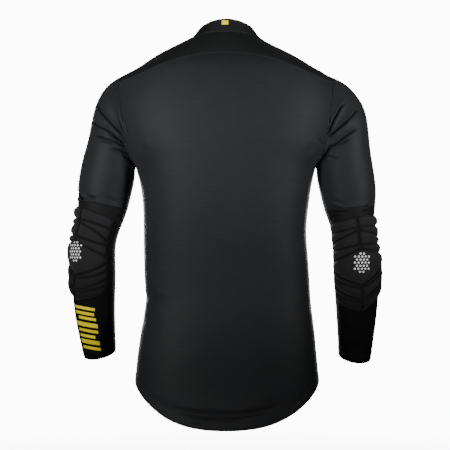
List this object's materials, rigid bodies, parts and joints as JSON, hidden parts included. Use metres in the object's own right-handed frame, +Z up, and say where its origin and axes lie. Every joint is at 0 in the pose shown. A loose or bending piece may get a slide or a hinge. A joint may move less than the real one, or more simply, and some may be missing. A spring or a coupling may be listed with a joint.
{
  "type": "padded compression shirt",
  "caption": "Long-sleeved close-fitting stretch shirt with a low stand collar, back yoke, curved tail and quilted elbow pads, filled out as worn.",
  "frame": {"origin": "the base of the neck between the shoulders, level with the middle of the collar seam, where the wearer's shoulders hold the shirt up", "axes": "+Z up along the body; -Y is the wearer's front; +X is the wearer's left"},
  "size_m": [0.5966, 0.2315, 0.765],
  "materials": {
    "body_knit": "black warp-knit polyester and elastane with a satin face",
    "yoke_knit": "the same black knit, denser and a little darker",
    "forearm_knit": "deep black matt knit",
    "pad_knit": "charcoal matt brushed knit, quilted over foam"
  },
  "bodies": {
    "root": {"back": "body_knit", "front": "body_knit", "yoke": "yoke_knit", "collar": "yoke_knit", "sleeve_upper_left": "body_knit", "sleeve_upper_right": "body_knit", "sleeve_lower_left": "forearm_knit", "sleeve_lower_right": "forearm_knit", "elbow_pad_left": "pad_knit", "elbow_pad_right": "pad_knit"}
  },
  "joints": []
}
